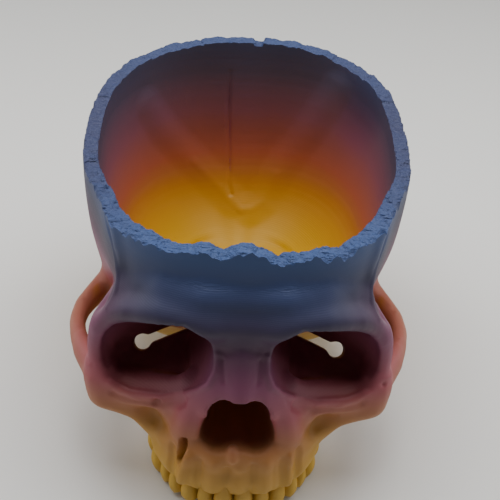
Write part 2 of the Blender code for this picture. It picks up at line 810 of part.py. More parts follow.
def tooth_row():
    """The places of one side's teeth, set side by side along the row's curve."""
    half = TOOTH_ROW_WIDTH_SHARE * HALF_WIDTH
    front, back = TOOTH_ROW_FRONT_SHARE * HALF_LENGTH, TOOTH_ROW_BACK_SHARE * HALF_LENGTH
    curve = []
    for k in range(TOOTH_ROW_STEPS + 1):
        across, along = rounded(math.pi / 2 * k / TOOTH_ROW_STEPS, TOOTH_ROW_SQUARENESS)
        curve.append(Vector((across * half, back + along * (back - front), 0)))
    places = []
    travelled, next_start = 0.0, TOOTH_GAP / 2
    walk = iter(zip(curve, curve[1:]))
    for kind in TOOTH_KINDS:
        centre = next_start + kind[1] / 2
        next_start += kind[1] + TOOTH_GAP
        while travelled < centre:
            start, end = next(walk)
            travelled += (end - start).length
        places.append((start, (end - start).normalized()))
    return places


def make_tooth(kind, place, heading, outward, growth, name):
    """A tooth from its tip up to its root's end. A grown copy of it cuts its socket."""
    _, width, depth_share, cusps, tip_width, tip_depth = kind
    depth = TOOTH_DEPTH * depth_share
    cusp_phase = math.pi / 4 if cusps == 4 else 0.0
    shape = bmesh.new()
    rings = []
    for up, wide, deep in ((0.0, tip_width, tip_depth),) + TOOTH_RING_SHARES:
        half_width, half_depth = wide * width / 2 + growth, deep * depth / 2 + growth
        level = up * TOOTH_HEIGHT + (growth if up == TOOTH_RING_SHARES[-1][0] else 0)
        ring = []
        for k in range(TOOTH_STEPS):
            angle = 2 * math.pi * k / TOOTH_STEPS
            x, y = rounded(angle, TOOTH_SQUARENESS)
            dip = (1 - math.cos(cusps * (angle - cusp_phase))) / 2 * CUSP_SHARE * width
            raised = Vector((0, 0, level + (dip if up == 0 else 0)))
            ring.append(place + heading * x * half_width + outward * y * half_depth + raised)
        rings.append(ring)
    loft(shape, rings)
    return mesh_from(shape, name)


def set_teeth(pieces):
    """Stands eight teeth in each jaw. The jaw gets a socket that fits round every root."""
    for side, sign in (("left", 1), ("right", -1)):
        sockets = []
        for kind, (point, ahead), tip in zip(TOOTH_KINDS, tooth_row(), TOOTH_TIP_SHARES):
            name = side + "_" + kind[0]
            place = Vector((point.x * sign, point.y, tip * SKULL_HEIGHT))
            heading = Vector((ahead.x * sign, ahead.y, 0))
            outward = Vector((ahead.y * sign, -ahead.x, 0))
            pieces[name] = make_tooth(kind, place, heading, outward, 0.0, name)
            socket = make_tooth(kind, place, heading, outward, SOCKET_GAP, name + "_socket")
            sockets.append(add_cutter(name + "_socket", socket))
        jaw_name = side + "_upper_jaw"
        pieces[jaw_name] = largest_piece(carved(pieces[jaw_name], sockets, jaw_name))


# Colours

def to_linear(code):
    """A colour from its sRGB hex code."""
    channels = [int(code[k : k + 2], 16) / 255 for k in (0, 2, 4)]
    return [c / 12.92 if c <= 0.04045 else ((c + 0.055) / 1.055) ** 2.4 for c in channels] + [1.0]


PIECE_COLOURS = {
    "braincase": "64759A",
    "nasal_bone": "77415A",
    "cheekbone": "97635F",
    "upper_jaw": "80542F",
    "tooth": "8C6A2A",
}


def make_material(name, code):
    material = bpy.data.materials.new(name)
    material.use_nodes = True
    surface = material.node_tree.nodes["Principled BSDF"]
    surface.inputs["Base Color"].default_value = to_linear(code)
    surface.inputs["Roughness"].default_value = 0.55
    surface.inputs["Metallic"].default_value = 0.0
    return material


def finish_piece(name, mesh):
    """Puts a finished piece into the scene with its own material."""
    obj = add_object(name, mesh)
    family = next((key for key in PIECE_COLOURS if name.endswith(key)), "tooth")
    mesh.materials.clear()
    mesh.materials.append(make_material(name + "_print", PIECE_COLOURS[family]))
    return obj


def rest_on_floor(pieces):
    """Moves all the pieces together, so that the skull stands on z = 0, centred on the origin."""
    points = [vert.co for mesh in pieces.values() for vert in mesh.vertices]
    low = Vector([min(point[k] for point in points) for k in range(3)])
    high = Vector([max(point[k] for point in points) for k in range(3)])
    middle = (low + high) / 2
    shift = Matrix.Translation((-middle.x, -middle.y, -low.z))
    for mesh in pieces.values():
        mesh.transform(shift)


def main():
    clear_scene()
    pieces = saw_pieces(make_clay())
    set_teeth(pieces)
    rest_on_floor(pieces)
    for name, mesh in pieces.items():
        finish_piece(name, mesh)


main()
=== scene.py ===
# %% [markdown]
# A decorative skull bowl in Blender
#
# The object is a life-size skull without its lower jaw, open at the crown, so that it works as a bowl. It is
# one print in colour-change filament. The CAD model divides it at the natural seams of a skull, and this
# script makes the fine surface round that model: the skin of the print, the sixteen teeth, the broken rim,
# the finish, the light and the camera.

# %% Load the fixed frame
import math

import bmesh
import bpy
import numpy as np
from mathutils import Matrix, Vector, noise


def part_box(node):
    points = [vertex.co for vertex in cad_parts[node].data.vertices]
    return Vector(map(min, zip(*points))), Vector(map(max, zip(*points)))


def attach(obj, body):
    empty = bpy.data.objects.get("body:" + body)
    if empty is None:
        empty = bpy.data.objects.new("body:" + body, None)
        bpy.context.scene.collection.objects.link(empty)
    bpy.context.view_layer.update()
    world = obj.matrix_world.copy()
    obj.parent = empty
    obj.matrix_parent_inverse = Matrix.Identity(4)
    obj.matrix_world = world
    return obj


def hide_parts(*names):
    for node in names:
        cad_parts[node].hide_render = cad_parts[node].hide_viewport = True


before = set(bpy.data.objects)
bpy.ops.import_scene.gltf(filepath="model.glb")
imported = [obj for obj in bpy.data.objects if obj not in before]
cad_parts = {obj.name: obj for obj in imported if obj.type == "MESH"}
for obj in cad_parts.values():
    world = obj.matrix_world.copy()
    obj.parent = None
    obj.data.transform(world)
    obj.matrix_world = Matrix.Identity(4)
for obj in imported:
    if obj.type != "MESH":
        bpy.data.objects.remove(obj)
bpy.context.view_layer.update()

MM = 0.001

# %% [markdown]
# Sizes
#
# A sculptor works from a few big sizes and gives everything else as a share of them. The same is done here:
# a place on the skull is three shares, of the half width, the half length and the height. A share of 0 across
# is the middle plane, minus is the skull's own right, and minus along is toward the face.

# %% Sizes and places
SKULL_WIDTH = 137.0 * MM
SKULL_LENGTH = 181.0 * MM
SKULL_HEIGHT = 121.0 * MM
HALF_WIDTH = SKULL_WIDTH / 2
HALF_LENGTH = SKULL_LENGTH / 2
BONE_RADIUS = 6.0 * MM


def spot(across, along, up):
    """A point from its shares of the half width, the half length and the height."""
    return Vector((across * HALF_WIDTH, along * HALF_LENGTH, up * SKULL_HEIGHT))


def rounded(angle, squareness):
    """A point on a unit superellipse. Angle 0 is the front, and a quarter turn is the widest place."""
    power = 2 / squareness
    sine, cosine = math.sin(angle), math.cos(angle)
    return (
        math.copysign(abs(sine) ** power, sine),
        -math.copysign(abs(cosine) ** power, cosine),
    )


def eased(rows, steps):
    """Rows with more rows between them, on smooth curves through the given ones."""
    rows = [np.array(row) for row in rows]
    rows = [2 * rows[0] - rows[1]] + rows + [2 * rows[-1] - rows[-2]]
    out = []
    for before, start, end, after in zip(rows, rows[1:], rows[2:], rows[3:]):
        for k in range(steps):
            t = k / steps
            pull = (end - before) * t + (2 * before - 5 * start + 4 * end - after) * t**2
            pull += (3 * start - before - 3 * end + after) * t**3
            out.append(tuple(start + pull / 2))
    return out + [tuple(rows[-2])]


def add_object(name, mesh):
    obj = bpy.data.objects.new(name, mesh)
    bpy.context.scene.collection.objects.link(obj)
    return obj


def mesh_from(shape, name):
    """Ends a bmesh: makes its faces point out and writes it to a mesh."""
    bmesh.ops.recalc_face_normals(shape, faces=shape.faces[:])
    mesh = bpy.data.meshes.new(name)
    shape.to_mesh(mesh)
    shape.free()
    return mesh


def loft(shape, rings):
    """Skins a row of closed rings with quads and closes both ends."""
    laid = [[shape.verts.new(point) for point in ring] for ring in rings]
    count = len(laid[0])
    for lower, upper in zip(laid, laid[1:]):
        for k in range(count):
            after = (k + 1) % count
            shape.faces.new((lower[k], lower[after], upper[after], upper[k]))
    shape.faces.new(laid[0])
    shape.faces.new(laid[-1])


def baked(obj, name):
    """The object's mesh with its modifiers applied. The object itself is removed."""
    bpy.context.view_layer.update()
    graph = bpy.context.evaluated_depsgraph_get()
    mesh = bpy.data.meshes.new_from_object(obj.evaluated_get(graph))
    mesh.name = name
    bpy.data.objects.remove(obj)
    return mesh


def carved(mesh, cutters, name):
    """The mesh with each cutter taken out of it. The cutters are used up."""
    obj = add_object(name, mesh)
    tools = [add_object(name + "_cutter", cutter) for cutter in cutters]
    for tool in tools:
        step = obj.modifiers.new("cut", "BOOLEAN")
        step.object = tool
        step.operation = "DIFFERENCE"
        step.solver = "EXACT"
    result = baked(obj, name)
    for tool in tools:
        bpy.data.objects.remove(tool)
    return result


def reskinned(mesh, cell, rounds, name):
    """Fuses a pile of shapes into one skin and rubs it smooth, as a thumb smooths clay."""
    obj = add_object(name, mesh)
    skin = obj.modifiers.new("skin", "REMESH")
    skin.mode = "VOXEL"
    skin.voxel_size = cell
    thumb = obj.modifiers.new("thumb", "SMOOTH")
    thumb.factor = 0.5
    thumb.iterations = rounds
    result = baked(obj, name)
    print(f"{name}: {len(result.vertices)} points")
    return result


# %% [markdown]
# The braincase
#
# On the real object the braincase is one even wall round an open bowl. It could be sculpted by hand, but a
# stack of horizontal sections says plainly how long and how wide the head is at each height, so it is lofted
# from sections. They are squarer in front, rounder behind and drawn in at the temples.

# %% Sections of the head and of its hollow
HEAD_SHARES = (
    (0.000, 0.30, 0.60, 0.20, 2.7),
    (0.035, 0.16, 0.73, 0.39, 2.7),
    (0.080, 0.05, 0.82, 0.54, 2.7),
    (0.150, -0.04, 0.89, 0.68, 2.7),
    (0.250, -0.14, 0.945, 0.78, 2.7),
    (0.370, -0.33, 0.98, 0.845, 2.6),
    (0.500, -0.47, 0.995, 0.885, 2.5),
    (0.620, -0.66, 1.0, 0.915, 2.45),
    (0.700, -0.81, 1.0, 0.93, 2.45),
    (0.790, -0.855, 1.0, 0.945, 2.45),
    (0.910, -0.85, 0.998, 0.952, 2.6),
    (1.080, -0.835, 0.98, 0.945, 2.75),
)
HOLLOW_SHARES = (
    (0.190, 0.22, 0.60, 0.22, 2.7),
    (0.215, 0.10, 0.69, 0.40, 2.7),
    (0.265, -0.03, 0.78, 0.55, 2.7),
    (0.335, -0.12, 0.86, 0.67, 2.7),
    (0.420, -0.18, 0.91, 0.755, 2.7),
    (0.540, -0.235, 0.935, 0.80, 2.7),
    (0.670, -0.30, 0.935, 0.835, 2.6),
    (0.760, -0.58, 0.934, 0.85, 2.4),
    (0.815, -0.73, 0.934, 0.858, 2.35),
    (0.910, -0.78, 0.932, 0.866, 2.6),
    (1.300, -0.77, 0.915, 0.858, 2.7),
)
WIDEST_SHARE = 0.20
RIGHT_BACK_SQUARENESS = 2.4
LEFT_BACK_SQUARENESS = 2.65
TEMPLE_PINCH_SHARE = 0.085
TEMPLE_PLACE_SHARE = -0.46
TEMPLE_SPREAD_SHARE = 0.22
CREST_WIDTH_SHARE = 0.20
CREST_DEPTH_SHARE = 0.045
HEAD_STEPS = 160


def head_ring(row, steps, crest_share=0.0):
    """One horizontal section: height, front, back and half width as shares, and how square its front is."""
    up, front, back, half, squareness = row
    middle = WIDEST_SHARE if front < WIDEST_SHARE - 0.1 else (front + back) / 2
    ring = []
    for k in range(steps):
        angle = 2 * math.pi * k / steps
        ahead = math.cos(angle) > 0
        behind = LEFT_BACK_SQUARENESS if math.sin(angle) > 0 else RIGHT_BACK_SQUARENESS
        across, along = rounded(angle, squareness if ahead else behind)
        y = middle + along * ((middle - front) if ahead else (back - middle))
        near_temple = (y - TEMPLE_PLACE_SHARE) / TEMPLE_SPREAD_SHARE
        pinch = TEMPLE_PINCH_SHARE * math.exp(-near_temple**2) * min(1.0, abs(across) ** 4)
        if not ahead:
            y -= crest_share * math.exp(-((across / CREST_WIDTH_SHARE) ** 2))
        ring.append(spot(across * (half - pinch), y, up))
    return ring


def hollow_cutter():
    """The bowl's inside. Its back has a low upright ridge between two pockets."""
    shape = bmesh.new()
    rings = []
    for row in eased(HOLLOW_SHARES, 3):
        rings.append(head_ring(row, HEAD_STEPS, CREST_DEPTH_SHARE * max(0.0, 1.0 - row[0])))
    loft(shape, rings)
    return mesh_from(shape, "hollow")


# %% [markdown]
# The face
#
# Brow, cheekbones, cheek arches, nose and jaws are ridges of bone. Each is laid as a strand of clay: a string
# of beads that follows the ridge, thicker where the bone is. A remesh then melts the beads and the head into
# one skin. Curves with a bevel would give even tubes, and metaballs would not keep their place, so beads it is.
# A row is a place in shares and a thickness.

# %% Strands of the face and of the underside
ROUND = (1.0, 1.0, 1.0)
MIDDLE_STRANDS = {
    "nose bridge": ((1.15, 1.0, 1.0), ((0.00, -0.865, 0.69, 1.15), (0.00, -0.905, 0.615, 0.95),
        (0.00, -0.945, 0.55, 0.85), (0.00, -0.965, 0.50, 0.80))),
    "nose core": (ROUND, ((0.00, -0.80, 0.66, 1.70), (0.00, -0.66, 0.64, 1.75), (0.00, -0.50, 0.58, 1.95),
        (0.00, -0.50, 0.45, 1.95), (0.00, -0.68, 0.42, 2.00))),
    "palate": ((2.6, 1.0, 1.0), ((0.00, -0.84, 0.27, 1.25), (0.00, -0.70, 0.28, 1.00),
        (0.00, -0.56, 0.27, 0.85))),
    "skull base": ((1.2, 1.0, 1.0), ((0.00, -0.05, 0.22, 1.20), (0.00, -0.20, 0.30, 1.45),
        (0.00, -0.34, 0.41, 1.80), (0.00, -0.46, 0.50, 1.90))),
    "nape": (ROUND, ((0.00, 0.93, 0.38, 0.85), (0.10, 0.90, 0.37, 0.60))),
    "nose spine": (ROUND, ((0.00, -0.92, 0.295, 0.62), (0.00, -0.965, 0.300, 0.36))),
}
SIDE_STRANDS = {
    "brow": (ROUND, ((0.00, -0.865, 0.745, 1.10), (0.20, -0.88, 0.757, 1.08), (0.41, -0.85, 0.765, 1.00),
        (0.59, -0.785, 0.735, 0.85), (0.70, -0.725, 0.675, 0.70), (0.765, -0.69, 0.61, 0.78))),
    "forehead": ((1.3, 1.0, 1.6), ((0.00, -0.845, 0.80, 0.85), (0.20, -0.855, 0.81, 0.85),
        (0.40, -0.80, 0.81, 0.80), (0.53, -0.735, 0.795, 0.62), (0.60, -0.68, 0.775, 0.45))),
    "outer rim": (ROUND, ((0.765, -0.69, 0.61, 0.78), (0.785, -0.665, 0.53, 0.80),
        (0.765, -0.66, 0.45, 0.95))),
    "lower rim": (ROUND, ((0.745, -0.68, 0.41, 1.05), (0.62, -0.73, 0.38, 1.00), (0.46, -0.765, 0.383, 0.95),
        (0.32, -0.80, 0.415, 0.85), (0.205, -0.84, 0.47, 0.78), (0.165, -0.855, 0.55, 0.80),
        (0.15, -0.85, 0.64, 0.85), (0.16, -0.865, 0.70, 0.90))),
    "cheek": (ROUND, ((0.755, -0.665, 0.40, 1.45), (0.748, -0.68, 0.335, 1.30), (0.66, -0.69, 0.315, 1.15),
        (0.55, -0.70, 0.285, 1.00), (0.45, -0.69, 0.205, 1.05))),
    "cheek arch": ((1.0, 1.0, 1.45), ((0.79, -0.645, 0.385, 0.95), (0.89, -0.53, 0.395, 0.72),
        (0.938, -0.42, 0.397, 0.62), (0.955, -0.33, 0.396, 0.60), (0.94, -0.23, 0.394, 0.66),
        (0.88, -0.12, 0.392, 0.72), (0.80, 0.00, 0.39, 0.85))),
    "arch root": (ROUND, ((0.80, -0.06, 0.375, 0.80), (0.75, 0.02, 0.365, 1.05), (0.71, 0.14, 0.35, 1.10))),
    "nose roof": (ROUND, ((0.09, -0.86, 0.66, 0.85), (0.10, -0.90, 0.58, 0.80), (0.115, -0.925, 0.515, 0.75),
        (0.17, -0.92, 0.45, 0.70))),
    "nose side": (ROUND, ((0.125, -0.87, 0.60, 0.90), (0.175, -0.885, 0.50, 0.88), (0.245, -0.875, 0.40, 0.95),
        (0.275, -0.86, 0.31, 1.15))),
    "jaw body": (ROUND, ((0.30, -0.76, 0.32, 1.60), (0.36, -0.66, 0.35, 1.85), (0.34, -0.55, 0.36, 1.85),
        (0.28, -0.50, 0.38, 1.60))),
    "jaw arch": (ROUND, ((0.00, -0.905, 0.245, 1.35), (0.13, -0.90, 0.245, 1.35), (0.25, -0.86, 0.24, 1.30),
        (0.335, -0.79, 0.225, 1.25), (0.39, -0.70, 0.205, 1.20), (0.42, -0.60, 0.19, 1.15),
        (0.435, -0.51, 0.19, 1.10))),
    "tooth beds": ((1.0, 1.0, 1.5), ((0.00, -0.925, 0.154, 1.00), (0.13, -0.92, 0.154, 1.00),
        (0.25, -0.88, 0.154, 1.00), (0.335, -0.81, 0.152, 1.05), (0.39, -0.72, 0.145, 1.10),
        (0.42, -0.61, 0.140, 1.10), (0.435, -0.51, 0.140, 1.05))),
    "eye wall": ((1.0, 1.0, 3.0), ((0.785, -0.67, 0.57, 0.60), (0.75, -0.60, 0.56, 0.68),
        (0.69, -0.53, 0.565, 0.82), (0.60, -0.455, 0.575, 1.00), (0.46, -0.40, 0.56, 1.20))),
    "eye floor": ((2.3, 1.2, 0.8), ((0.60, -0.70, 0.385, 0.85), (0.64, -0.62, 0.415, 1.00),
        (0.55, -0.53, 0.425, 0.95), (0.38, -0.44, 0.450, 0.85))),
    "eye inner wall": ((1.2, 1.2, 2.4), ((0.150, -0.82, 0.535, 0.90), (0.160, -0.72, 0.505, 1.15),
        (0.165, -0.60, 0.490, 1.20), (0.165, -0.50, 0.490, 1.10))),
    "eye roof": (ROUND, ((0.60, -0.68, 0.755, 1.05), (0.55, -0.55, 0.74, 1.20), (0.48, -0.44, 0.68, 1.60))),
    "eye corner": (ROUND, ((0.675, -0.665, 0.690, 0.70), (0.63, -0.58, 0.680, 0.85),
        (0.56, -0.48, 0.68, 1.10))),
    "temple line": (ROUND, ((0.685, -0.69, 0.715, 0.50), (0.65, -0.665, 0.77, 0.45), (0.65, -0.655, 0.84, 0.40),
        (0.68, -0.64, 0.93, 0.38), (0.735, -0.59, 1.04, 0.38))),
    "mastoid": (ROUND, ((0.745, 0.13, 0.32, 1.40), (0.74, 0.09, 0.23, 1.30), (0.72, 0.05, 0.165, 0.85))),
    "ear ridge": (ROUND, ((0.66, 0.05, 0.25, 1.25), (0.40, -0.04, 0.25, 1.00), (0.18, -0.13, 0.265, 0.85))),
    "condyle": (ROUND, ((0.14, -0.02, 0.155, 0.70), (0.19, 0.07, 0.145, 0.80), (0.22, 0.16, 0.15, 0.65))),
    "wing plate": ((0.55, 1.5, 1.0), ((0.24, -0.44, 0.37, 0.80), (0.25, -0.43, 0.26, 0.60),
        (0.26, -0.42, 0.16, 0.50))),
}
BEAD_SPACING_SHARE = 0.35


def add_strand(shape, rows, stretch, side):
    """Lays beads along the rows' places, close enough together to read as one limb."""
    strand = bmesh.new()
    for start, end in zip(rows, rows[1:]):
        first, last = (spot(side * row[0], row[1], row[2]) for row in (start, end))
        thin = min(start[3], end[3]) * BONE_RADIUS * BEAD_SPACING_SHARE
        count = max(1, math.ceil((last - first).length / thin))
        for k in range(count + 1):
            share = k / count
            radius = BONE_RADIUS * (start[3] + (end[3] - start[3]) * share)
            place = Matrix.Translation(first.lerp(last, share))
            size = Matrix.Diagonal([radius * part for part in stretch] + [1])
            bmesh.ops.create_icosphere(strand, subdivisions=2, radius=1, matrix=place @ size)
    shape.from_mesh(mesh_from(strand, "strand"))


LUMP_CELL = 1.9 * MM
LUMP_ROUNDS = 5


def lump_of_clay():
    """Head and strands fused into one body, before anything is cut out of it."""
    shape = bmesh.new()
    loft(shape, [head_ring(row, HEAD_STEPS) for row in eased(HEAD_SHARES, 3)])
    for stretch, rows in MIDDLE_STRANDS.values():
        add_strand(shape, rows, stretch, 1)
    for stretch, rows in SIDE_STRANDS.values():
        for side in (1, -1):
            add_strand(shape, rows, stretch, side)
    return reskinned(mesh_from(shape, "lump"), LUMP_CELL, LUMP_ROUNDS, "lump")


# %% [markdown]
# Sockets, slots and nose
#
# What is open on a skull is as telling as what is bone. The eye sockets are rounded cones that lean toward the
# middle, the slots in their floors are keyholes that show the table through them, and the nose is a pear with a
# passage behind it. They are lofts too, taken out with a Boolean, which keeps their edges where they belong.

# %% Cutters of the face
EYE_SHARES = (
    (0.500, -1.04, 0.586, 0.340, 0.175),
    (0.462, -0.80, 0.577, 0.312, 0.158),
    (0.452, -0.68, 0.569, 0.300, 0.143),
    (0.402, -0.56, 0.560, 0.232, 0.114),
    (0.325, -0.45, 0.555, 0.135, 0.068),
    (0.275, -0.39, 0.550, 0.055, 0.030),
)
EYE_SQUARENESS = 2.6
EYE_INNER_CORNER_SQUARENESS = 2.05
EYE_DROOP_SHARE = 0.40
EYE_STEPS = 72
SLOT_PLACE_SHARES = (0.555, -0.54, 0.45)
SLOT_BULB_RADIUS = 3.3 * MM
SLOT_HALF_WIDTH = 1.7 * MM
SLOT_LENGTH = 20.0 * MM
SLOT_RISE = math.radians(23)
SLOT_FALL = math.radians(36)
SLOT_REACH_SHARES = (-0.55, 1.30)
SLOT_STEPS = 24
NOSE_HALF_WIDTH_SHARE = 0.205
NOSE_OUTLINE_SHARES = (
    (0.00, 0.520),
    (0.34, 0.519),
    (0.63, 0.499),
    (0.83, 0.456),
    (0.84, 0.412),
    (1.00, 0.355),
    (0.97, 0.308),
    (0.56, 0.280),
    (0.12, 0.294),
)
NOSE_REACH_SHARES = ((-1.15, 1.0), (-0.90, 0.98), (-0.74, 0.74), (-0.50, 0.60), (-0.30, 0.60))
NERVE_OPENING_SHARES = (0.00, 0.11, 0.08, 0.21, 0.19, 0.07)


def eye_cutter(side):
    """A rounded cone from in front of the face to the back of the eye socket."""
    shape = bmesh.new()
    rings = []
    for across, along, up, half, high in eased(EYE_SHARES, 4):
        ring = []
        for k in range(EYE_STEPS):
            angle = 2 * math.pi * k / EYE_STEPS
            by_nose_and_brow = math.sin(angle) < 0 < math.cos(angle)
            flat, tall = rounded(angle, EYE_INNER_CORNER_SQUARENESS if by_nose_and_brow else EYE_SQUARENESS)
            droop = -EYE_DROOP_SHARE * flat * high
            ring.append(spot(side * (across + flat * half), along, up - tall * high + droop))
        rings.append(ring)
    loft(shape, rings)
    return mesh_from(shape, "eye")


def slot_cutter(side):
    """The keyhole in a socket's floor. It runs up toward the nose and is cut down and back."""
    through = Vector((0, math.cos(SLOT_FALL), -math.sin(SLOT_FALL)))
    above = Vector((0, math.sin(SLOT_FALL), math.cos(SLOT_FALL)))
    inward = Vector((-side, 0, 0))
    along = inward * math.cos(SLOT_RISE) + above * math.sin(SLOT_RISE)
    across = above * math.cos(SLOT_RISE) - inward * math.sin(SLOT_RISE)
    opening = math.asin(SLOT_HALF_WIDTH / SLOT_BULB_RADIUS)
    outline = []
    for k in range(SLOT_STEPS):
        angle = opening + (2 * math.pi - 2 * opening) * k / (SLOT_STEPS - 1)
        outline.append((SLOT_BULB_RADIUS * math.cos(angle), SLOT_BULB_RADIUS * math.sin(angle)))
    for angle in (-math.pi / 2, -math.pi / 4, 0, math.pi / 4, math.pi / 2):
        tip = SLOT_LENGTH + SLOT_HALF_WIDTH * math.cos(angle)
        outline.append((tip, SLOT_HALF_WIDTH * math.sin(angle)))
    place = spot(SLOT_PLACE_SHARES[0] * side, *SLOT_PLACE_SHARES[1:])
    shape = bmesh.new()
    starts = [place + through * reach * SLOT_LENGTH for reach in SLOT_REACH_SHARES]
    loft(shape, [[start + along * u + across * v for u, v in outline] for start in starts])
    return mesh_from(shape, "slot")


def nose_cutter():
    """The pear-shaped nasal opening and the passage behind it."""
    half = eased(NOSE_OUTLINE_SHARES, 4)
    outline = half + [(-x, z) for x, z in half[:0:-1]]
    sill = min(z for _, z in half)
    shape = bmesh.new()
    rings = []
    for along, size in eased(NOSE_REACH_SHARES, 3):
        rings.append([
            spot(x * NOSE_HALF_WIDTH_SHARE * size, along, sill + (z - sill) * size) for x, z in outline
        ])
    loft(shape, rings)
    return mesh_from(shape, "nose")


def nerve_opening_cutter():
    """The round hollow under the skull where the spine would enter. It stays shut toward the bowl."""
    across, along, up, half_width, half_length, half_height = NERVE_OPENING_SHARES
    size = (half_width * HALF_WIDTH, half_length * HALF_LENGTH, half_height * SKULL_HEIGHT, 1)
    shape = bmesh.new()
    place = Matrix.Translation(spot(across, along, up)) @ Matrix.Diagonal(size)
    bmesh.ops.create_icosphere(shape, subdivisions=4, radius=1, matrix=place)
    return mesh_from(shape, "nerve opening")


# %% [markdown]
# The skin of the print
#
# The lump is carved, and a finer remesh gives it an even skin whose edges are rubbed a little, as the nozzle
# rounds every edge of a real print.

# %% Carve the lump and reskin it
SKIN_CELL = 0.8 * MM
SKIN_ROUNDS = 5

cutters = [make(side) for make in (eye_cutter, slot_cutter) for side in (1, -1)]
cutters += [nose_cutter(), nerve_opening_cutter(), hollow_cutter()]
skin = reskinned(carved(lump_of_clay(), cutters, "rough skull"), SKIN_CELL, SKIN_ROUNDS, "skin")

# %% [markdown]
# Fine modelling
#
# Pits, ridges and creases are too fine for strands. A digital sculptor would draw them with a brush, and so
# does this script: a stroke is a line of places in millimetres, and every point of the skin near it moves
# along its own normal, most on the line and not at all a brush width away. The same stroke can run on both
# sides of the skull.

# %% A brush
def stroke(points, normals, path, depth, width, facing):
    """Raises (or, with a negative depth, presses) the skin along a path. Only skin that faces the way
    that is given moves."""
    path = np.array(path) * MM
    nearest = np.full(len(points), np.inf)
    for start, end in zip(path, path[1:]):
        run = end - start
        share = np.clip((points - start) @ run / (run @ run), 0, 1)[:, None]
        nearest = np.minimum(nearest, np.linalg.norm(points - start - share * run, axis=1))
    weight = np.clip(1 - (nearest / (width * MM)) ** 2, 0, None) ** 2
    weight *= np.clip(normals @ np.array(facing) * 2, 0, 1)
    points += normals * (depth * MM * weight)[:, None]


# Each row is a path in millimetres, how high it rises, how far it reaches, and the way the skin there faces.
FACE = (0, -0.8, 0.6)
SIDE_STROKES = (
    # Swelling of the brow, the small notch under it and the hollow of the cheek.
    (((13, -80, 91), (24, -80, 95), (34, -77, 95)), 0.9, 9, FACE),
    (((19, -82, 87.5), (21, -84, 92)), -0.9, 2.6, FACE),
    (((33, -69, 34), (30, -72, 33)), -1.6, 8.0, FACE),
    # Floor of the eye socket, the edge of its rim and the groove under that.
    (((54, -60, 56), (48, -63, 51), (41, -64, 49.5), (30, -67, 51.5), (20, -71, 56)), 2.6, 7.5,
     (0, -0.3, 0.95)),
    (((49, -67.5, 50.5), (41, -70.5, 48.5), (29.5, -74.5, 50.5), (18, -80, 58.5), (11.4, -84.8, 66.8),
      (9.4, -84.8, 73), (9.2, -83.5, 80)), 1.2, 2.0, FACE),
    (((47, -69, 46), (38, -71.5, 44.5), (29, -75.5, 46.5), (20, -80, 53)), -1.2, 3.0, FACE),
    # Edge of the nasal opening.
    (((7, -88, 60), (11.5, -86, 55), (14, -84, 47), (15.5, -83, 40)), 0.5, 3.0, (0, -0.9, 0.1)),
    # Line of the temple, from the rim down to the eye socket's outer corner.
    (((50.8, -47, 114), (48.8, -54.7, 109), (46.5, -59.6, 99.5), (46.5, -64, 93), (50, -67, 86)), 0.7, 1.8,
     (0.7, -0.7, 0)),
)
LEFT_OF_PHOTO_STROKES = (
    # Opening under the eye socket, crevice of the upper jaw, root of the canine and a small pit.
    (((-30.9, -74.9, 47.3), (-31.6, -74.9, 45.5)), -2.2, 2.6, FACE),
    (((-19.9, -84.1, 36.5), (-20.7, -84.0, 31), (-21.8, -82.8, 25)), -4.2, 2.3, FACE),
    (((-18.2, -85.0, 30), (-19.4, -84.6, 24), (-20.5, -84.0, 16)), 2.2, 3.8, (0, -1, 0)),
    (((-55.0, -64.5, 55.7), (-55.1, -64.4, 55.2)), -1.0, 1.6, FACE),
)
RIGHT_OF_PHOTO_STROKES = (
    # Two small pits of the cheek.
    (((54.9, -65.8, 53.3), (55.0, -65.7, 52.9)), -1.0, 1.6, FACE),
    (((28, -76, 45.5), (29, -75.5, 44.5)), -1.0, 2.4, FACE),
)
MIDDLE_STROKES = (
    # Spine of the nose, crease at its root, and the roots of the front teeth with the hollows between.
    (((-1.6, -85, 37), (-1.2, -88.5, 33)), 2.0, 2.8, FACE),
    (((-6, -83.5, 81), (-0.7, -85, 84), (5, -84, 82.5)), -0.4, 3.0, (0, -1, 0.1)),
    (((-6.3, -87, 70), (-7.4, -84, 78)), -0.6, 1.6, (0, -1, 0.2)),
    (((6.3, -87, 70), (6.6, -84, 78)), -0.6, 1.6, (0, -1, 0.2)),
    (((-8.3, -89, 30), (-8.6, -88.5, 14)), 0.8, 3.2, (0, -1, 0)),
    (((1.6, -90, 28), (1.6, -89.5, 14)), 0.7, 3.0, (0, -1, 0)),
    (((12.0, -88, 30), (12.4, -87.5, 14)), 0.8, 3.2, (0, -1, 0)),
    (((-13.6, -87, 30), (-13.8, -86.6, 13)), -1.2, 2.6, (0, -1, 0)),
    (((-3.2, -89, 28), (-3.2, -88.6, 13)), -1.2, 2.4, (0, -1, 0)),
    (((6.6, -89, 30), (6.7, -88.6, 13)), -1.2, 2.6, (0, -1, 0)),
    (((17.5, -86, 30), (18.2, -85.0, 13)), -0.8, 2.6, (0, -1, 0)),
    (((20.8, -84, 31), (21.4, -83, 13)), 1.2, 2.4, (0.3, -1, 0)),
    (((24.5, -81, 31), (25, -80, 12)), -1.6, 3.0, (0.5, -0.8, 0)),
    (((-24.5, -81, 30), (-25, -80, 12)), -1.4, 3.0, (-0.5, -0.8, 0)),
)
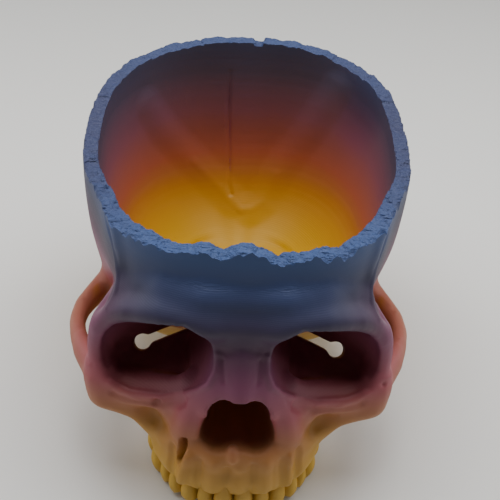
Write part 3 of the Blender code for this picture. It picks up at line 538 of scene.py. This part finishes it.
BOWL_STROKES = (
    # The seam, the two arms of the V on the back wall, and the faint ends of the arms.
    (((-7.6, 83.0, 104), (-7.6, 83.4, 89), (-7.0, 83.2, 76), (-6.4, 82.4, 63), (-6.0, 80.9, 54),
      (-5.6, 78.1, 46), (-4.4, 76, 42)), -0.9, 1.4, (0, -1, 0.3)),
    (((-46, 69, 94), (-36, 74, 76), (-23, 79.5, 58), (-10, 77, 45), (-4, 74, 40)), 1.0, 9.5, (0, -1, 0.3)),
    (((40, 72, 104), (29, 78.2, 76), (16.6, 80.1, 52), (11.2, 73.9, 40), (5, 71, 37)), 1.0, 9.5,
     (0, -1, 0.3)),
    (((-23, 79.5, 58), (-10, 77, 45), (-3, 73.5, 39), (1, 70.5, 37)), 0.22, 3.0, (0, -1, 0.3)),
    (((16.6, 80.1, 52), (11.2, 73.9, 40), (6, 71.5, 37.5), (1, 70.5, 37)), 0.22, 3.0, (0, -1, 0.3)),
)

points = np.empty(len(skin.vertices) * 3)
skin.vertices.foreach_get("co", points)
points = points.reshape(-1, 3)
normals = np.empty(len(skin.vertices) * 3)
skin.vertex_normals.foreach_get("vector", normals)
normals = normals.reshape(-1, 3)
for path, depth, width, facing in SIDE_STROKES:
    for side in (1, -1):
        mirror = [(side * x, y, z) for x, y, z in path]
        stroke(points, normals, mirror, depth, width, (side * facing[0], facing[1], facing[2]))
ONE_SIDED_STROKES = LEFT_OF_PHOTO_STROKES + RIGHT_OF_PHOTO_STROKES + MIDDLE_STROKES + BOWL_STROKES
for path, depth, width, facing in ONE_SIDED_STROKES:
    stroke(points, normals, path, depth, width, facing)
skin.vertices.foreach_set("co", points.ravel())
skin.update()

# %% [markdown]
# The broken rim
#
# The crown ends in a fracture: uneven chunks with steps between them, and a grainy face. Modelling that by
# hand would take days. Here a ring with a rough under side is pushed down over the wall and taken away, so
# that the wall shows the ring's roughness as its broken face. The roughness is noise, in grains of real size.

# %% The ring that breaks the rim
RIM_COLUMNS = 1100
RIM_ROWS = 30
RIM_LEVEL = 118.3
RIM_SIDE_DIP = 6.6
GRAIN_SIZES = ((6.0, 1.6), (2.6, 1.0), (1.0, 0.6))
REAR_GRAIN = 0.45
CHIP_DEPTH = 5.6
CHIP_SIZE = 3.2
RIM_EDGES = (0.918, 0.985)
EDGE_WIDTH = 0.02
CHUNK_WANDER = 2.0
CHIP_BIAS = 0.1
# Where the ring starts and ends, and the band of it that has the fine rows, in shares of the head's outline.
RING_REACH = (0.5, 1.3)
FINE_BAND = (0.84, 0.20)
# Angle from the front in degrees, plus toward the skull's left, and height in millimetres.
TEETH_OF_THE_BREAK = (
    (-44, 0.6), (-36, -0.4), (-27, 0.3), (-16, -1.3), (-10, 0.9), (-5, -0.5), (0.5, 1.9), (7, -2.6), (14, -0.4),
    (20, -1.7), (26, -0.6), (31, 1.0), (38, 0.6), (46, -0.6),
)
# Where a new chunk starts, in the same degrees, and how high it stands.
CHUNKS_OF_THE_BREAK = (
    (-180, 0.2), (-163, -0.4), (-140, 0.4), (-110, -0.2), (-80, 0.2), (-64, -0.5), (-46, 0.3), (-38, 0.0),
    (38, 0.5), (56, -0.2), (74, 0.4), (96, -0.3), (115, 0.5), (131, -0.6), (148, 0.1), (161, 0.5), (174, -1.2),
    (178, 0.2),
)


def tooth_of_the_break(degrees):
    """The height that the drawn peaks and dips of the front give to the break."""
    angles = [row[0] for row in TEETH_OF_THE_BREAK]
    return float(np.interp(degrees, angles, [row[1] for row in TEETH_OF_THE_BREAK], left=0, right=0))


def chunk_of_the_break(degrees):
    """The height of the chunk that the break has there."""
    return [height for start, height in CHUNKS_OF_THE_BREAK if start <= max(degrees, -180)][-1]


def break_level(x, y, reach):
    """The height of the broken face over a place, in millimetres. Its two edges are chipped."""
    angle = math.atan2(x, WIDEST_SHARE * HALF_LENGTH / MM - y)
    level = RIM_LEVEL - RIM_SIDE_DIP * math.sin(angle) ** 2 + tooth_of_the_break(math.degrees(angle))
    wander = CHUNK_WANDER * noise.noise(Vector((x / 3, y / 3, 5)))
    level += chunk_of_the_break(math.degrees(angle) + wander)
    rough = REAR_GRAIN + (1 - REAR_GRAIN) * max(0.0, math.cos(angle)) ** 0.5
    for size, height in GRAIN_SIZES:
        level += rough * height * noise.noise(Vector((x / size, y / size, size * 9)))
    near_edge = max(RIM_EDGES[0] - reach, reach - RIM_EDGES[1], 0) / EDGE_WIDTH
    chip = noise.noise(Vector((x / CHIP_SIZE, y / CHIP_SIZE, 3)))
    return level - rough * CHIP_DEPTH * min(1.0, near_edge) * max(0.0, chip + CHIP_BIAS)


def break_cutter():
    """A wide ring above the wall, rough underneath."""
    shape = bmesh.new()
    outline = head_ring(HEAD_SHARES[-2], RIM_COLUMNS)
    centre = spot(0, WIDEST_SHARE, 0)
    inner, outer = RING_REACH
    start, width = FINE_BAND
    reaches = [inner] + [start + width * k / (RIM_ROWS - 1) for k in range(RIM_ROWS)] + [outer]
    rows, tops = [], []
    for reach in reaches:
        row = []
        for point in outline:
            x, y = (centre + (point - centre) * reach).xy / MM
            row.append(Vector((x, y, break_level(x, y, reach))) * MM)
        rows.append(row)
    for reach in (outer, inner):
        tops.append([Vector((*(centre + (p - centre) * reach).xy, SKULL_HEIGHT * 1.2)) for p in outline])
    loft(shape, rows + tops)
    return mesh_from(shape, "break")


skin = carved(skin, [break_cutter()], "skull_print")
print(f"skull_print: {len(skin.vertices)} points")

# %% [markdown]
# The teeth
#
# Sixteen upper teeth stand in the jaws, each with its root in a socket. A tooth is a short loft: a worn tip
# with cusps, a swelling crown, a neck and a tapering root. The row is walked along half a superellipse, so
# that each tooth stands beside the last one. On the print they are as matt as the bone.

# %% Teeth
TOOTH_HEIGHT = 21.0 * MM
TOOTH_DEPTH = 8.6 * MM
TOOTH_KINDS = (
    ("central_incisor", 7.6 * MM, 0.80, 0, 0.92, 0.26),
    ("lateral_incisor", 5.9 * MM, 0.76, 0, 0.86, 0.28),
    ("canine", 6.8 * MM, 0.92, 0, 0.24, 0.26),
    ("first_premolar", 6.3 * MM, 1.02, 2, 0.56, 0.66),
    ("second_premolar", 6.1 * MM, 1.02, 2, 0.60, 0.70),
    ("first_molar", 9.2 * MM, 1.25, 4, 0.74, 0.72),
    ("second_molar", 8.7 * MM, 1.22, 4, 0.72, 0.70),
    ("third_molar", 7.4 * MM, 1.10, 4, 0.66, 0.66),
)
TOOTH_GAP = 0.35 * MM
TOOTH_ROW_WIDTH_SHARE = 0.455
TOOTH_ROW_FRONT_SHARE = -0.945
TOOTH_ROW_BACK_SHARE = -0.40
TOOTH_ROW_SQUARENESS = 2.3
TOOTH_ROW_STEPS = 400
TOOTH_TIP_SHARES = (0.030, 0.026, 0.016, 0.010, 0.006, 0.0, 0.008, 0.022)
TOOTH_SQUARENESS = 2.6
TOOTH_STEPS = 24
CUSP_SHARE = 0.13
TOOTH_RING_SHARES = (
    (0.0, None, None),
    (0.08, 0.92, 0.84),
    (0.22, 1.00, 1.00),
    (0.42, 0.84, 0.94),
    (0.50, 0.72, 0.84),
    (0.75, 0.54, 0.62),
    (1.00, 0.20, 0.22),
)


def tooth_row():
    """The places of one side's teeth, set side by side along the row's curve."""
    half = TOOTH_ROW_WIDTH_SHARE * HALF_WIDTH
    front, back = TOOTH_ROW_FRONT_SHARE * HALF_LENGTH, TOOTH_ROW_BACK_SHARE * HALF_LENGTH
    curve = []
    for k in range(TOOTH_ROW_STEPS + 1):
        across, along = rounded(math.pi / 2 * k / TOOTH_ROW_STEPS, TOOTH_ROW_SQUARENESS)
        curve.append(Vector((across * half, back + along * (back - front), 0)))
    places = []
    travelled, next_start = 0.0, TOOTH_GAP / 2
    walk = iter(zip(curve, curve[1:]))
    for kind in TOOTH_KINDS:
        centre = next_start + kind[1] / 2
        next_start += kind[1] + TOOTH_GAP
        while travelled < centre:
            start, end = next(walk)
            travelled += (end - start).length
        places.append((start, (end - start).normalized()))
    return places


def tooth_mesh(kind, place, heading, outward, name):
    """A tooth from its tip up to its root's end."""
    _, width, depth_share, cusps, tip_width, tip_depth = kind
    depth = TOOTH_DEPTH * depth_share
    phase = math.pi / 4 if cusps == 4 else 0.0
    rows = [(up, wide or tip_width, deep or tip_depth) for up, wide, deep in TOOTH_RING_SHARES]
    shape = bmesh.new()
    rings = []
    for up, wide, deep in eased(rows, 3):
        ring = []
        for k in range(TOOTH_STEPS):
            angle = 2 * math.pi * k / TOOTH_STEPS
            x, y = rounded(angle, TOOTH_SQUARENESS)
            dip = (1 - math.cos(cusps * (angle - phase))) / 2 * CUSP_SHARE * width * max(0, 1 - up / 0.08)
            step = heading * x * wide * width / 2 + outward * y * deep * depth / 2
            ring.append(place + step + Vector((0, 0, up * TOOTH_HEIGHT + dip)))
        rings.append(ring)
    loft(shape, rings)
    return mesh_from(shape, name)


teeth = []
for side, sign in (("left", 1), ("right", -1)):
    for kind, (point, ahead), tip in zip(TOOTH_KINDS, tooth_row(), TOOTH_TIP_SHARES):
        place = Vector((point.x * sign, point.y, tip * SKULL_HEIGHT))
        heading = Vector((ahead.x * sign, ahead.y, 0))
        outward = Vector((ahead.y * sign, -ahead.x, 0))
        node = f"{side}_{kind[0]}"
        tooth = add_object(node + "_print", tooth_mesh(kind, place, heading, outward, node))
        teeth.append((tooth, node))

# %% [markdown]
# Seat everything in the frame
#
# The drawing's origin and the CAD's differ by a little, because the CAD stands on its lowest point. The first
# molar is the same shape in both, so the distance between the two is the move that everything makes.

# %% Move to the frame's place
def lowest_corner(mesh):
    return Vector([min(vert.co[axis] for vert in mesh.vertices) for axis in range(3)])


molar, molar_node = next(pair for pair in teeth if pair[1] == "left_first_molar")
shift = Vector(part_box(molar_node)[0]) - lowest_corner(molar.data)
print("move in mm:", [round(v / MM, 2) for v in shift])
skull = add_object("skull_print", skin)
for piece in [skull] + [tooth for tooth, _ in teeth]:
    piece.data.transform(Matrix.Translation(shift))
    piece.data.shade_smooth()
skull.data.set_sharp_from_angle(angle=math.radians(48))

# %% [markdown]
# The filament
#
# The print is matt polylactic acid (PLA) whose colour changes along the spool. Layer after layer the colour
# drifts with the height: ochre yellow at the teeth, orange at the cheek arches, rose and plum at the sockets,
# grey blue at the rim. A picture could hold the colours, but a ramp over the height is what the machine did,
# and it fits every piece at once. A few plain colours, each for a height, are matched to the photograph, and
# the ramp blends them.
#
# Two things go past that rule. On the face the same colours lie up to 12 mm lower than on the sides and the
# back, so a shallow parabola bends the height. Inside the bowl the colours are partly painted light: skin that
# faces the bowl's middle reads a row of its own, richer at the floor and greyer and lighter on the upper walls,
# which paints the light that falls into the bowl and bounces round in it onto the filament's colours.
#
# The sides of the head shine less than the front, and the broken rim has a rough bump of its own over the
# grain and the layers.

# %% Colours and nodes
def to_linear(code):
    """A colour from its sRGB hex code."""
    channels = [int(code[k:k + 2], 16) / 255 for k in (0, 2, 4)]
    return [c / 12.92 if c <= 0.04045 else ((c + 0.055) / 1.055) ** 2.4 for c in channels] + [1.0]


def add_node(tree, kind, links=(), **settings):
    """Adds a node. A setting that is no property of the node goes to the input of that name or number."""
    node = tree.nodes.new(kind)
    for name, value in settings.items():
        if hasattr(node, name):
            setattr(node, name, value)
        else:
            key = int(name[1:]) if name[0] == "i" and name[1:].isdigit() else name.replace("_", " ")
            node.inputs[key].default_value = value
    for source, target in links:
        tree.links.new(source, node.inputs[target])
    return node


# Height in millimetres and the colour there, matched to the photograph.
FILAMENT_COLOURS = (
    (15, "D0A844"),  # ochre, the teeth
    (40, "AE7C40"),  # burnt orange, the jaws
    (60, "9A5258"),  # rose, the cheekbones
    (80, "7E4660"),  # mauve, round the sockets
    (96, "4C344A"),  # plum, the brow
    (108, "3C3C54"),  # slate, the forehead
    (126, "405480"),  # grey blue, the rim
)
# The filament's colours with painted light: as they look lit inside the bowl, richer at the floor and greyer
# and lighter above.
BOWL_COLOURS_WITH_PAINTED_LIGHT = (
    (28, "B88C00"),  # golden yellow, the floor
    (44, "B07C1C"),  # orange
    (62, "A45A44"),  # red
    (84, "7C4E5C"),  # maroon
    (104, "4E4658"),  # plum
    (120, "3C445C"),  # slate, under the rim
)
# The bowl's middle, and its reach across and along, in millimetres; they bound the painted bowl light.
BOWL_MIDDLE = (0, 10, 105)
BOWL_REACH = (62, 84)
# How far lower the colours lie at the front of the face, where that is, the ramp's upper end, and how far
# the colours waver up and down, all in millimetres.
FACE_LEAD = 12.0
FACE_PLACE = -80.0
RAMP_TOP = 136.0
COLOUR_WANDER = 1.5
PLA_ROUGHNESS = 0.46
PLA_IOR = 1.46
# Specular level of skin that faces the front or up, and of skin that faces sideways.
FRONT_GLOSS = 0.27
SIDE_GLOSS = 0.06
LAYER_HEIGHT = 0.6
# Noise grains per metre: about 1.1 mm, 3.8 mm and 1.3 mm each. The first is coarser than the real grain.
GRAIN = 900.0
STREAKS = 260.0
CRUMBS = 800.0
# Depths of the three bumps in millimetres, and the heights between which the broken face sets in.
GRAIN_BUMP = 0.03
STREAK_BUMP = 0.25
CRUMB_BUMP = 1.7
BREAK_LEVELS = (104, 109)


def filament(name):
    """Matt PLA in a colour that drifts with the height. The layers of a real print are 0.2 mm high, too
    fine for this picture, so they are drawn three times as high."""
    material = bpy.data.materials.new(name)
    material.use_nodes = True
    tree = material.node_tree
    surface = tree.nodes["Principled BSDF"]
    surface.inputs["Roughness"].default_value = PLA_ROUGHNESS
    surface.inputs["IOR"].default_value = PLA_IOR
    place = add_node(tree, "ShaderNodeNewGeometry")
    split = add_node(tree, "ShaderNodeSeparateXYZ", [(place.outputs["Position"], 0)])
    facing = add_node(tree, "ShaderNodeSeparateXYZ", [(place.outputs["Normal"], 0)])
    sideways = add_node(tree, "ShaderNodeMath", [(facing.outputs[0], 0)], operation="ABSOLUTE")
    gloss = add_node(tree, "ShaderNodeMapRange", [(sideways.outputs[0], 0)],
        i1=0.7, i2=0.95, i3=FRONT_GLOSS, i4=SIDE_GLOSS)
    tree.links.new(gloss.outputs[0], surface.inputs["Specular IOR Level"])

    # The colour, from the bent height.
    drift = add_node(tree, "ShaderNodeTexNoise", [(place.outputs["Position"], "Vector")],
        Scale=22.0, Detail=3.0)
    wander = add_node(tree, "ShaderNodeMapRange", [(drift.outputs[0], 0)],
        i3=-COLOUR_WANDER * MM, i4=COLOUR_WANDER * MM)
    along = add_node(tree, "ShaderNodeMapRange", [(split.outputs[1], 0)], i1=0.0, i2=FACE_PLACE * MM)
    square = add_node(tree, "ShaderNodeMath", [(along.outputs[0], 0), (along.outputs[0], 1)],
        operation="MULTIPLY")
    bent = add_node(tree, "ShaderNodeMath", [(square.outputs[0], 0), (split.outputs[2], 2)],
        operation="MULTIPLY_ADD", i1=FACE_LEAD * MM)
    height = add_node(tree, "ShaderNodeMath", [(bent.outputs[0], 0), (wander.outputs[0], 1)], operation="ADD")
    share = add_node(tree, "ShaderNodeMath", [(height.outputs[0], 0)], operation="DIVIDE", i1=RAMP_TOP * MM)
    ramps = []
    for row in (FILAMENT_COLOURS, BOWL_COLOURS_WITH_PAINTED_LIGHT):
        ramp = add_node(tree, "ShaderNodeValToRGB", [(share.outputs[0], 0)])
        stops = ramp.color_ramp.elements
        for k, (level, code) in enumerate(row):
            position = level / RAMP_TOP
            stop = stops[k] if k < 2 else stops.new(position)
            stop.position = position
            stop.color = to_linear(code)
        ramps.append(ramp)

    # The bowl's own row, the filament's colours with painted light, counts where the skin faces the bowl's
    # middle from within its reach.
    inward = add_node(tree, "ShaderNodeVectorMath", [(place.outputs["Position"], 1)], operation="SUBTRACT",
        i0=[MM * v for v in BOWL_MIDDLE])
    reach = add_node(tree, "ShaderNodeVectorMath", [(inward.outputs[0], 0)], operation="MULTIPLY",
        i1=[1 / (MM * v) for v in BOWL_REACH] + [0])
    reach = add_node(tree, "ShaderNodeVectorMath", [(reach.outputs[0], 0)], operation="LENGTH")
    within = add_node(tree, "ShaderNodeMapRange", [(reach.outputs["Value"], 0)],
        i1=1.0, i2=1.04, i3=1.0, i4=0.0)
    inward = add_node(tree, "ShaderNodeVectorMath", [(inward.outputs[0], 0)], operation="NORMALIZE")
    inward = add_node(tree, "ShaderNodeVectorMath", [(inward.outputs[0], 0), (place.outputs["Normal"], 1)],
        operation="DOT_PRODUCT")
    turned = add_node(tree, "ShaderNodeMapRange", [(inward.outputs["Value"], 0)], i1=0.65, i2=0.85)
    # Painted light: where this mask is high, the bowl's lit colours take the place of the filament's own.
    inside = add_node(tree, "ShaderNodeMath", [(within.outputs[0], 0), (turned.outputs[0], 1)],
        operation="MULTIPLY")
    shade = add_node(tree, "ShaderNodeMix", [(inside.outputs[0], 0)], data_type="RGBA")
    tree.links.new(ramps[0].outputs[0], shade.inputs[6])
    tree.links.new(ramps[1].outputs[0], shade.inputs[7])
    tree.links.new(shade.outputs[2], surface.inputs["Base Color"])

    # The bumps: layers and grain, then streaks along the layers, then the crumbs of the broken face.
    layers = add_node(tree, "ShaderNodeMath", [(split.outputs[2], 0)], operation="MULTIPLY",
        i1=2 * math.pi / (LAYER_HEIGHT * MM))
    ridges = add_node(tree, "ShaderNodeMath", [(layers.outputs[0], 0)], operation="SINE")
    grain = add_node(tree, "ShaderNodeTexNoise", [(place.outputs["Position"], "Vector")],
        Scale=GRAIN, Detail=2.0)
    both = add_node(tree, "ShaderNodeMath", [(grain.outputs[0], 0), (ridges.outputs[0], 2)],
        operation="MULTIPLY_ADD", i1=2.0)
    bump = add_node(tree, "ShaderNodeBump", [(both.outputs[0], "Height")],
        Strength=0.3, Distance=GRAIN_BUMP * MM)
    flat = add_node(tree, "ShaderNodeCombineXYZ", [(bent.outputs[0], 2)])
    passes = add_node(tree, "ShaderNodeTexNoise", [(flat.outputs[0], "Vector")], Scale=STREAKS, Detail=3.0)
    streaks = add_node(tree, "ShaderNodeBump", [(passes.outputs[0], "Height"), (bump.outputs[0], "Normal")],
        Strength=0.5, Distance=STREAK_BUMP * MM)
    level = add_node(tree, "ShaderNodeMapRange", [(facing.outputs[2], 0)], i1=0.35, i2=0.75)
    high = add_node(tree, "ShaderNodeMapRange", [(split.outputs[2], 0)],
        i1=BREAK_LEVELS[0] * MM, i2=BREAK_LEVELS[1] * MM)
    broken = add_node(tree, "ShaderNodeMath", [(level.outputs[0], 0), (high.outputs[0], 1)],
        operation="MULTIPLY")
    drawn = add_node(tree, "ShaderNodeVectorMath", [(place.outputs["Position"], 0)], operation="MULTIPLY",
        i1=(0.35, 1.0, 2.0))
    crumbs = add_node(tree, "ShaderNodeTexNoise", [(drawn.outputs[0], "Vector")], Scale=CRUMBS, Detail=4.0)
    rough = add_node(tree, "ShaderNodeBump", [(crumbs.outputs[0], "Height"), (streaks.outputs[0], "Normal"),
        (broken.outputs[0], "Strength")], Distance=CRUMB_BUMP * MM)
    tree.links.new(rough.outputs[0], surface.inputs["Normal"])
    return material


print_finish = filament("matt_colour_change_pla")
for piece in [skull] + [tooth for tooth, _ in teeth]:
    piece.data.materials.clear()
    piece.data.materials.append(print_finish)

# %% [markdown]
# Who stands for what
#
# The bone of the print is one skin, so it stands for the seven bone nodes of the CAD together. Each tooth
# stands for its own node. Nothing moves, so all ride on the one body.

# %% Tell the frame
BONE_NODES = ["braincase"] + [
    f"{side}_{name}" for side in ("left", "right") for name in ("cheekbone", "nasal_bone", "upper_jaw")
]
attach(skull, "root")
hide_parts(*BONE_NODES)
for tooth, node in teeth:
    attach(tooth, "root")
    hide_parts(node)

# %% [markdown]
# The table
#
# The skull stands on pale matt board. It is a plain grid, large enough to fill the picture from every side.

# %% Floor
def board():
    """Pale matt paper board."""
    material = bpy.data.materials.new("pale_matt_board")
    material.use_nodes = True
    tree = material.node_tree
    surface = tree.nodes["Principled BSDF"]
    surface.inputs["Roughness"].default_value = 0.9
    place = add_node(tree, "ShaderNodeNewGeometry")
    cloud = add_node(tree, "ShaderNodeTexNoise", [(place.outputs["Position"], "Vector")], Scale=3.0)
    tone = add_node(tree, "ShaderNodeMix", [(cloud.outputs[0], 0)], data_type="RGBA",
        i6=to_linear("DAD9D6"), i7=to_linear("E0DFDB"))
    tree.links.new(tone.outputs[2], surface.inputs["Base Color"])
    return material


FLOOR_SIZE = 6.0
sheet = bmesh.new()
bmesh.ops.create_grid(sheet, x_segments=8, y_segments=8, size=FLOOR_SIZE / 2)
floor = add_object("table_board", mesh_from(sheet, "table_board"))
floor.data.materials.append(board())

# %% [markdown]
# Light
#
# The photograph was taken in a light tent: broad soft light from above and from both sides, and a dark opening
# where the camera stood. Area lamps stand for the tent's walls. There is none in front, so the face stays
# darker than the rim, as it does in the photograph.

# %% Lamps and surroundings
def tent_wall(name, place, aim, size, power):
    lamp = bpy.data.lights.new(name, "AREA")
    lamp.shape = "RECTANGLE"
    lamp.size, lamp.size_y = size
    lamp.energy = power
    obj = bpy.data.objects.new(name, lamp)
    obj.location = place
    obj.rotation_euler = (Vector(aim) - Vector(place)).to_track_quat("-Z", "Y").to_euler()
    bpy.context.scene.collection.objects.link(obj)


tent_wall("tent_roof", (0, 0.05, 0.60), (0, 0.04, 0), (0.60, 0.45), 5.3)
tent_wall("tent_left", (-0.5, 0.09, 0.30), (0, 0.05, 0.03), (0.60, 0.50), 1.7)
tent_wall("tent_right", (0.5, 0.09, 0.30), (0, 0.05, 0.03), (0.60, 0.50), 1.7)
world = bpy.data.worlds.new("tent_air")
bpy.context.scene.world = world
world.use_nodes = True
air = world.node_tree.nodes["Background"]
air.inputs["Color"].default_value = to_linear("D8D9D8")
air.inputs["Strength"].default_value = 0.06

# %% [markdown]
# Camera
#
# The place of the camera was found by fitting a life-size skull to the photograph: it looks down on the bowl
# from in front, at about 36 degrees, from a little to the skull's right.

# %% Camera
CAMERA_PLACE = Vector((-12.7, -403.7, 362.3)) * MM
CAMERA_AHEAD = Vector((0.033, 0.8052, -0.5921))
CAMERA_UP = Vector((-0.0443, 0.5931, 0.8039))
LENS = 86.4

camera = bpy.data.objects.new("camera", bpy.data.cameras.new("camera"))
camera.data.lens = LENS
camera.data.sensor_width = 36.0
camera.data.clip_start = 0.01
back = -CAMERA_AHEAD.normalized()
across = CAMERA_UP.cross(back).normalized()
turn = Matrix((across, back.cross(across), back)).transposed()
camera.matrix_world = Matrix.Translation(CAMERA_PLACE) @ turn.to_4x4()
bpy.context.scene.collection.objects.link(camera)
bpy.context.scene.camera = camera
